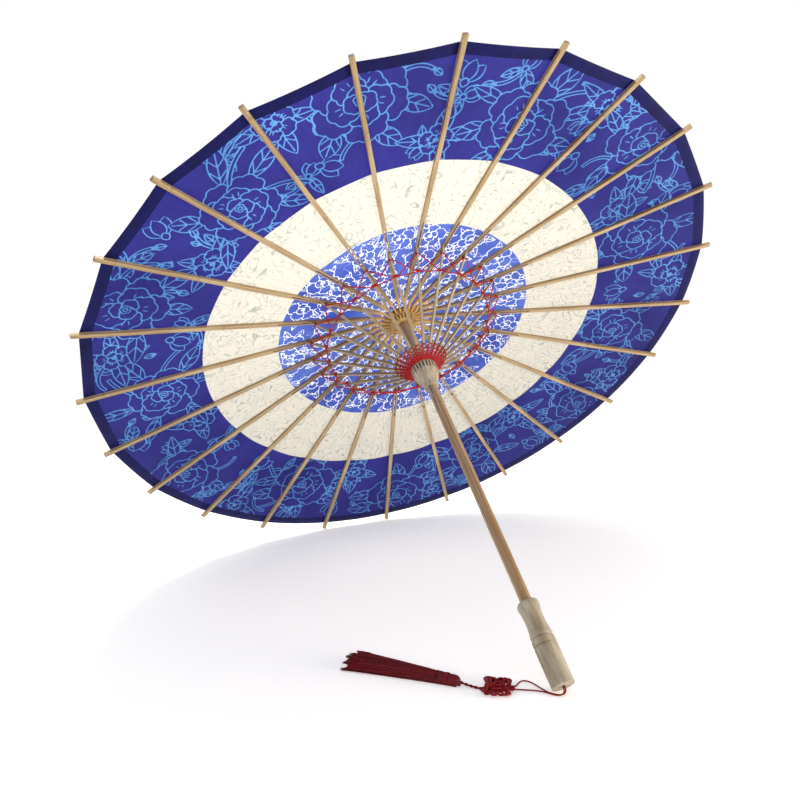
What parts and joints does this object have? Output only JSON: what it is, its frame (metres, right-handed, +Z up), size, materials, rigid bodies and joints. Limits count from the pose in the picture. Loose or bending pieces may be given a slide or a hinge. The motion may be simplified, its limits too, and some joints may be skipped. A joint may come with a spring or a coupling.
{
  "type": "oil paper umbrella",
  "caption": "Open oil paper umbrella with bamboo ribs, sliding runner, spring catch, turned wood handle and red tassel, lying on its rim and handle end.",
  "frame": {"origin": "floor point under the middle of the open umbrella's box, without the tassel and its cord", "axes": "+Z up from the floor; +X across the rim, level; +Y level, from the handle's end towards the canopy; the umbrella's shaft leans in the YZ plane"},
  "size_m": [0.834, 0.6342, 0.6305],
  "materials": {
    "rib_bamboo": "split bamboo, planed and lightly waxed",
    "stretcher_bamboo": "split bamboo, planed",
    "lacquered_wood": "clear lacquered wood",
    "pale_wood": "turned and sanded, unfinished",
    "catch_steel": "bent stainless strip",
    "oiled_paper": "printed paper, oiled",
    "cotton_thread": "twisted cotton",
    "red_cord": "braided satin cord",
    "red_silk": "loose silk strands"
  },
  "bodies": {
    "root": {"shaft": "lacquered_wood", "handle": "pale_wood", "top_notch": "pale_wood", "canopy": "oiled_paper", "top_cap": "pale_wood", "notch_cord": "cotton_thread", "tassel_loop": "red_cord", "tassel_knot": "red_cord", "tassel": "red_silk"},
    "runner": {"runner": "pale_wood", "runner_cord": "cotton_thread"},
    "latch": {"latch": "catch_steel"},
    "rib_01": {"rib_01": "rib_bamboo"},
    "stretcher_01": {"stretcher_01": "stretcher_bamboo"},
    "rib_02": {"rib_02": "rib_bamboo"},
    "stretcher_02": {"stretcher_02": "stretcher_bamboo"},
    "rib_03": {"rib_03": "rib_bamboo"},
    "stretcher_03": {"stretcher_03": "stretcher_bamboo"},
    "rib_04": {"rib_04": "rib_bamboo"},
    "stretcher_04": {"stretcher_04": "stretcher_bamboo"},
    "rib_05": {"rib_05": "rib_bamboo"},
    "stretcher_05": {"stretcher_05": "stretcher_bamboo"},
    "rib_06": {"rib_06": "rib_bamboo"},
    "stretcher_06": {"stretcher_06": "stretcher_bamboo"},
    "rib_07": {"rib_07": "rib_bamboo"},
    "stretcher_07": {"stretcher_07": "stretcher_bamboo"},
    "rib_08": {"rib_08": "rib_bamboo"},
    "stretcher_08": {"stretcher_08": "stretcher_bamboo"},
    "rib_09": {"rib_09": "rib_bamboo"},
    "stretcher_09": {"stretcher_09": "stretcher_bamboo"},
    "rib_10": {"rib_10": "rib_bamboo"},
    "stretcher_10": {"stretcher_10": "stretcher_bamboo"},
    "rib_11": {"rib_11": "rib_bamboo"},
    "stretcher_11": {"stretcher_11": "stretcher_bamboo"},
    "rib_12": {"rib_12": "rib_bamboo"},
    "stretcher_12": {"stretcher_12": "stretcher_bamboo"},
    "rib_13": {"rib_13": "rib_bamboo"},
    "stretcher_13": {"stretcher_13": "stretcher_bamboo"},
    "rib_14": {"rib_14": "rib_bamboo"},
    "stretcher_14": {"stretcher_14": "stretcher_bamboo"},
    "rib_15": {"rib_15": "rib_bamboo"},
    "stretcher_15": {"stretcher_15": "stretcher_bamboo"},
    "rib_16": {"rib_16": "rib_bamboo"},
    "stretcher_16": {"stretcher_16": "stretcher_bamboo"},
    "rib_17": {"rib_17": "rib_bamboo"},
    "stretcher_17": {"stretcher_17": "stretcher_bamboo"},
    "rib_18": {"rib_18": "rib_bamboo"},
    "stretcher_18": {"stretcher_18": "stretcher_bamboo"},
    "rib_19": {"rib_19": "rib_bamboo"},
    "stretcher_19": {"stretcher_19": "stretcher_bamboo"},
    "rib_20": {"rib_20": "rib_bamboo"},
    "stretcher_20": {"stretcher_20": "stretcher_bamboo"},
    "rib_21": {"rib_21": "rib_bamboo"},
    "stretcher_21": {"stretcher_21": "stretcher_bamboo"},
    "rib_22": {"rib_22": "rib_bamboo"},
    "stretcher_22": {"stretcher_22": "stretcher_bamboo"},
    "rib_23": {"rib_23": "rib_bamboo"},
    "stretcher_23": {"stretcher_23": "stretcher_bamboo"},
    "rib_24": {"rib_24": "rib_bamboo"},
    "stretcher_24": {"stretcher_24": "stretcher_bamboo"}
  },
  "joints": [
    {"name": "runner_slide", "type": "slide", "parent": "root", "child": "runner", "axis": [0, -0.7533, -0.6577], "range_m": [0, 0.1767], "deforming": ["canopy", "runner_cord", "latch"]},
    {"name": "latch_press", "type": "hinge", "parent": "root", "child": "latch", "pos_m": [-0.00246, -0.0409, 0.24556], "axis": [-0.5736, 0.5388, -0.617], "range_deg": [0, 6.5], "stiffness_Nm_per_rad": 0.03},
    {"name": "rib_01_hinge", "type": "hinge", "parent": "root", "child": "rib_01", "pos_m": [0.01487, 0.08008, 0.34631], "axis": [-0.1305, 0.6521, -0.7468], "range_deg": [0, 80.59]},
    {"name": "stretcher_01_hinge", "type": "hinge", "parent": "rib_01", "child": "stretcher_01", "pos_m": [0.13442, 0.08194, 0.32704], "axis": [0.1305, -0.6521, 0.7468], "range_deg": [0, 134.45]},
    {"name": "rib_02_hinge", "type": "hinge", "parent": "root", "child": "rib_02", "pos_m": [0.01386, 0.08257, 0.34346], "axis": [-0.3827, 0.6077, -0.6959], "range_deg": [0, 80.59]},
    {"name": "stretcher_02_hinge", "type": "hinge", "parent": "rib_02", "child": "stretcher_02", "pos_m": [0.12526, 0.10442, 0.30128], "axis": [0.3827, -0.6077, 0.6959], "range_deg": [0, 134.45]},
    {"name": "rib_03_hinge", "type": "hinge", "parent": "root", "child": "rib_03", "pos_m": [0.0119, 0.0848, 0.34091], "axis": [-0.6088, 0.5218, -0.5976], "range_deg": [0, 80.59]},
    {"name": "stretcher_03_hinge", "type": "hinge", "parent": "rib_03", "child": "stretcher_03", "pos_m": [0.10756, 0.12458, 0.2782], "axis": [0.6088, -0.5218, 0.5976], "range_deg": [0, 134.45]},
    {"name": "rib_04_hinge", "type": "hinge", "parent": "root", "child": "rib_04", "pos_m": [0.00913, 0.08662, 0.33882], "axis": [-0.7934, 0.4004, -0.4586], "range_deg": [0, 80.59]},
    {"name": "stretcher_04_hinge", "type": "hinge", "parent": "rib_04", "child": "stretcher_04", "pos_m": [0.08253, 0.14104, 0.25934], "axis": [0.7934, -0.4004, 0.4586], "range_deg": [0, 134.45]},
    {"name": "rib_05_hinge", "type": "hinge", "parent": "root", "child": "rib_05", "pos_m": [0.00574, 0.08791, 0.33735], "axis": [-0.9239, 0.2517, -0.2883], "range_deg": [0, 80.59]},
    {"name": "stretcher_05_hinge", "type": "hinge", "parent": "rib_05", "child": "stretcher_05", "pos_m": [0.05188, 0.15268, 0.24601], "axis": [0.9239, -0.2517, 0.2883], "range_deg": [0, 134.45]},
    {"name": "rib_06_hinge", "type": "hinge", "parent": "root", "child": "rib_06", "pos_m": [0.00196, 0.08858, 0.33658], "axis": [-0.9914, 0.0859, -0.0983], "range_deg": [0, 80.59]},
    {"name": "stretcher_06_hinge", "type": "hinge", "parent": "rib_06", "child": "stretcher_06", "pos_m": [0.0177, 0.15871, 0.23911], "axis": [0.9914, -0.0859, 0.0983], "range_deg": [0, 134.45]},
    {"name": "rib_07_hinge", "type": "hinge", "parent": "root", "child": "rib_07", "pos_m": [-0.00196, 0.08858, 0.33658], "axis": [-0.9914, -0.0859, 0.0983], "range_deg": [0, 80.59]},
    {"name": "stretcher_07_hinge", "type": "hinge", "parent": "rib_07", "child": "stretcher_07", "pos_m": [-0.0177, 0.15871, 0.23911], "axis": [0.9914, 0.0859, -0.0983], "range_deg": [0, 134.45]},
    {"name": "rib_08_hinge", "type": "hinge", "parent": "root", "child": "rib_08", "pos_m": [-0.00574, 0.08791, 0.33735], "axis": [-0.9239, -0.2517, 0.2883], "range_deg": [0, 80.59]},
    {"name": "stretcher_08_hinge", "type": "hinge", "parent": "rib_08", "child": "stretcher_08", "pos_m": [-0.05188, 0.15268, 0.24601], "axis": [0.9239, 0.2517, -0.2883], "range_deg": [0, 134.45]},
    {"name": "rib_09_hinge", "type": "hinge", "parent": "root", "child": "rib_09", "pos_m": [-0.00913, 0.08662, 0.33882], "axis": [-0.7934, -0.4004, 0.4586], "range_deg": [0, 80.59]},
    {"name": "stretcher_09_hinge", "type": "hinge", "parent": "rib_09", "child": "stretcher_09", "pos_m": [-0.08253, 0.14104, 0.25934], "axis": [0.7934, 0.4004, -0.4586], "range_deg": [0, 134.45]},
    {"name": "rib_10_hinge", "type": "hinge", "parent": "root", "child": "rib_10", "pos_m": [-0.0119, 0.0848, 0.34091], "axis": [-0.6088, -0.5218, 0.5976], "range_deg": [0, 80.59]},
    {"name": "stretcher_10_hinge", "type": "hinge", "parent": "rib_10", "child": "stretcher_10", "pos_m": [-0.10756, 0.12458, 0.2782], "axis": [0.6088, 0.5218, -0.5976], "range_deg": [0, 134.45]},
    {"name": "rib_11_hinge", "type": "hinge", "parent": "root", "child": "rib_11", "pos_m": [-0.01386, 0.08257, 0.34346], "axis": [-0.3827, -0.6077, 0.6959], "range_deg": [0, 80.59]},
    {"name": "stretcher_11_hinge", "type": "hinge", "parent": "rib_11", "child": "stretcher_11", "pos_m": [-0.12526, 0.10442, 0.30128], "axis": [0.3827, 0.6077, -0.6959], "range_deg": [0, 134.45]},
    {"name": "rib_12_hinge", "type": "hinge", "parent": "root", "child": "rib_12", "pos_m": [-0.01487, 0.08008, 0.34631], "axis": [-0.1305, -0.6521, 0.7468], "range_deg": [0, 80.59]},
    {"name": "stretcher_12_hinge", "type": "hinge", "parent": "rib_12", "child": "stretcher_12", "pos_m": [-0.13442, 0.08194, 0.32704], "axis": [0.1305, 0.6521, -0.7468], "range_deg": [0, 134.45]},
    {"name": "rib_13_hinge", "type": "hinge", "parent": "root", "child": "rib_13", "pos_m": [-0.01487, 0.07751, 0.34926], "axis": [0.1305, -0.6521, 0.7468], "range_deg": [0, 80.59]},
    {"name": "stretcher_13_hinge", "type": "hinge", "parent": "rib_13", "child": "stretcher_13", "pos_m": [-0.13442, 0.05866, 0.35369], "axis": [-0.1305, 0.6521, -0.7468], "range_deg": [0, 134.45]},
    {"name": "rib_14_hinge", "type": "hinge", "parent": "root", "child": "rib_14", "pos_m": [-0.01386, 0.07502, 0.35211], "axis": [0.3827, -0.6077, 0.6959], "range_deg": [0, 80.59]},
    {"name": "stretcher_14_hinge", "type": "hinge", "parent": "rib_14", "child": "stretcher_14", "pos_m": [-0.12526, 0.03617, 0.37945], "axis": [-0.3827, 0.6077, -0.6959], "range_deg": [0, 134.45]},
    {"name": "rib_15_hinge", "type": "hinge", "parent": "root", "child": "rib_15", "pos_m": [-0.0119, 0.07279, 0.35466], "axis": [0.6088, -0.5218, 0.5976], "range_deg": [0, 80.59]},
    {"name": "stretcher_15_hinge", "type": "hinge", "parent": "rib_15", "child": "stretcher_15", "pos_m": [-0.10756, 0.01601, 0.40253], "axis": [-0.6088, 0.5218, -0.5976], "range_deg": [0, 134.45]},
    {"name": "rib_16_hinge", "type": "hinge", "parent": "root", "child": "rib_16", "pos_m": [-0.00913, 0.07097, 0.35675], "axis": [0.7934, -0.4004, 0.4586], "range_deg": [0, 80.59]},
    {"name": "stretcher_16_hinge", "type": "hinge", "parent": "rib_16", "child": "stretcher_16", "pos_m": [-0.08253, -0.00045, 0.42139], "axis": [-0.7934, 0.4004, -0.4586], "range_deg": [0, 134.45]},
    {"name": "rib_17_hinge", "type": "hinge", "parent": "root", "child": "rib_17", "pos_m": [-0.00574, 0.06968, 0.35822], "axis": [0.9239, -0.2517, 0.2883], "range_deg": [0, 80.59]},
    {"name": "stretcher_17_hinge", "type": "hinge", "parent": "rib_17", "child": "stretcher_17", "pos_m": [-0.05188, -0.01209, 0.43472], "axis": [-0.9239, 0.2517, -0.2883], "range_deg": [0, 134.45]},
    {"name": "rib_18_hinge", "type": "hinge", "parent": "root", "child": "rib_18", "pos_m": [-0.00196, 0.06902, 0.35899], "axis": [0.9914, -0.0859, 0.0983], "range_deg": [0, 80.59]},
    {"name": "stretcher_18_hinge", "type": "hinge", "parent": "rib_18", "child": "stretcher_18", "pos_m": [-0.0177, -0.01811, 0.44161], "axis": [-0.9914, 0.0859, -0.0983], "range_deg": [0, 134.45]},
    {"name": "rib_19_hinge", "type": "hinge", "parent": "root", "child": "rib_19", "pos_m": [0.00196, 0.06902, 0.35899], "axis": [0.9914, 0.0859, -0.0983], "range_deg": [0, 80.59]},
    {"name": "stretcher_19_hinge", "type": "hinge", "parent": "rib_19", "child": "stretcher_19", "pos_m": [0.0177, -0.01811, 0.44161], "axis": [-0.9914, -0.0859, 0.0983], "range_deg": [0, 134.45]},
    {"name": "rib_20_hinge", "type": "hinge", "parent": "root", "child": "rib_20", "pos_m": [0.00574, 0.06968, 0.35822], "axis": [0.9239, 0.2517, -0.2883], "range_deg": [0, 80.59]},
    {"name": "stretcher_20_hinge", "type": "hinge", "parent": "rib_20", "child": "stretcher_20", "pos_m": [0.05188, -0.01209, 0.43472], "axis": [-0.9239, -0.2517, 0.2883], "range_deg": [0, 134.45]},
    {"name": "rib_21_hinge", "type": "hinge", "parent": "root", "child": "rib_21", "pos_m": [0.00913, 0.07097, 0.35675], "axis": [0.7934, 0.4004, -0.4586], "range_deg": [0, 80.59]},
    {"name": "stretcher_21_hinge", "type": "hinge", "parent": "rib_21", "child": "stretcher_21", "pos_m": [0.08253, -0.00045, 0.42139], "axis": [-0.7934, -0.4004, 0.4586], "range_deg": [0, 134.45]},
    {"name": "rib_22_hinge", "type": "hinge", "parent": "root", "child": "rib_22", "pos_m": [0.0119, 0.07279, 0.35466], "axis": [0.6088, 0.5218, -0.5976], "range_deg": [0, 80.59]},
    {"name": "stretcher_22_hinge", "type": "hinge", "parent": "rib_22", "child": "stretcher_22", "pos_m": [0.10756, 0.01601, 0.40253], "axis": [-0.6088, -0.5218, 0.5976], "range_deg": [0, 134.45]},
    {"name": "rib_23_hinge", "type": "hinge", "parent": "root", "child": "rib_23", "pos_m": [0.01386, 0.07502, 0.35211], "axis": [0.3827, 0.6077, -0.6959], "range_deg": [0, 80.59]},
    {"name": "stretcher_23_hinge", "type": "hinge", "parent": "rib_23", "child": "stretcher_23", "pos_m": [0.12526, 0.03617, 0.37945], "axis": [-0.3827, -0.6077, 0.6959], "range_deg": [0, 134.45]},
    {"name": "rib_24_hinge", "type": "hinge", "parent": "root", "child": "rib_24", "pos_m": [0.01487, 0.07751, 0.34926], "axis": [0.1305, 0.6521, -0.7468], "range_deg": [0, 80.59]},
    {"name": "stretcher_24_hinge", "type": "hinge", "parent": "rib_24", "child": "stretcher_24", "pos_m": [0.13442, 0.05866, 0.35369], "axis": [-0.1305, -0.6521, 0.7468], "range_deg": [0, 134.45]}
  ],
  "couplings": [
    {"joint": "rib_01_hinge", "follows": "runner_slide", "rad_per_m": 7.955},
    {"joint": "stretcher_01_hinge", "follows": "runner_slide", "rad_per_m": 13.275},
    {"joint": "rib_02_hinge", "follows": "runner_slide", "rad_per_m": 7.955},
    {"joint": "stretcher_02_hinge", "follows": "runner_slide", "rad_per_m": 13.275},
    {"joint": "rib_03_hinge", "follows": "runner_slide", "rad_per_m": 7.955},
    {"joint": "stretcher_03_hinge", "follows": "runner_slide", "rad_per_m": 13.275},
    {"joint": "rib_04_hinge", "follows": "runner_slide", "rad_per_m": 7.955},
    {"joint": "stretcher_04_hinge", "follows": "runner_slide", "rad_per_m": 13.275},
    {"joint": "rib_05_hinge", "follows": "runner_slide", "rad_per_m": 7.955},
    {"joint": "stretcher_05_hinge", "follows": "runner_slide", "rad_per_m": 13.275},
    {"joint": "rib_06_hinge", "follows": "runner_slide", "rad_per_m": 7.955},
    {"joint": "stretcher_06_hinge", "follows": "runner_slide", "rad_per_m": 13.275},
    {"joint": "rib_07_hinge", "follows": "runner_slide", "rad_per_m": 7.955},
    {"joint": "stretcher_07_hinge", "follows": "runner_slide", "rad_per_m": 13.275},
    {"joint": "rib_08_hinge", "follows": "runner_slide", "rad_per_m": 7.955},
    {"joint": "stretcher_08_hinge", "follows": "runner_slide", "rad_per_m": 13.275},
    {"joint": "rib_09_hinge", "follows": "runner_slide", "rad_per_m": 7.955},
    {"joint": "stretcher_09_hinge", "follows": "runner_slide", "rad_per_m": 13.275},
    {"joint": "rib_10_hinge", "follows": "runner_slide", "rad_per_m": 7.955},
    {"joint": "stretcher_10_hinge", "follows": "runner_slide", "rad_per_m": 13.275},
    {"joint": "rib_11_hinge", "follows": "runner_slide", "rad_per_m": 7.955},
    {"joint": "stretcher_11_hinge", "follows": "runner_slide", "rad_per_m": 13.275},
    {"joint": "rib_12_hinge", "follows": "runner_slide", "rad_per_m": 7.955},
    {"joint": "stretcher_12_hinge", "follows": "runner_slide", "rad_per_m": 13.275},
    {"joint": "rib_13_hinge", "follows": "runner_slide", "rad_per_m": 7.955},
    {"joint": "stretcher_13_hinge", "follows": "runner_slide", "rad_per_m": 13.275},
    {"joint": "rib_14_hinge", "follows": "runner_slide", "rad_per_m": 7.955},
    {"joint": "stretcher_14_hinge", "follows": "runner_slide", "rad_per_m": 13.275},
    {"joint": "rib_15_hinge", "follows": "runner_slide", "rad_per_m": 7.955},
    {"joint": "stretcher_15_hinge", "follows": "runner_slide", "rad_per_m": 13.275},
    {"joint": "rib_16_hinge", "follows": "runner_slide", "rad_per_m": 7.955},
    {"joint": "stretcher_16_hinge", "follows": "runner_slide", "rad_per_m": 13.275},
    {"joint": "rib_17_hinge", "follows": "runner_slide", "rad_per_m": 7.955},
    {"joint": "stretcher_17_hinge", "follows": "runner_slide", "rad_per_m": 13.275},
    {"joint": "rib_18_hinge", "follows": "runner_slide", "rad_per_m": 7.955},
    {"joint": "stretcher_18_hinge", "follows": "runner_slide", "rad_per_m": 13.275},
    {"joint": "rib_19_hinge", "follows": "runner_slide", "rad_per_m": 7.955},
    {"joint": "stretcher_19_hinge", "follows": "runner_slide", "rad_per_m": 13.275},
    {"joint": "rib_20_hinge", "follows": "runner_slide", "rad_per_m": 7.955},
    {"joint": "stretcher_20_hinge", "follows": "runner_slide", "rad_per_m": 13.275},
    {"joint": "rib_21_hinge", "follows": "runner_slide", "rad_per_m": 7.955},
    {"joint": "stretcher_21_hinge", "follows": "runner_slide", "rad_per_m": 13.275},
    {"joint": "rib_22_hinge", "follows": "runner_slide", "rad_per_m": 7.955},
    {"joint": "stretcher_22_hinge", "follows": "runner_slide", "rad_per_m": 13.275},
    {"joint": "rib_23_hinge", "follows": "runner_slide", "rad_per_m": 7.955},
    {"joint": "stretcher_23_hinge", "follows": "runner_slide", "rad_per_m": 13.275},
    {"joint": "rib_24_hinge", "follows": "runner_slide", "rad_per_m": 7.955},
    {"joint": "stretcher_24_hinge", "follows": "runner_slide", "rad_per_m": 13.275}
  ]
}
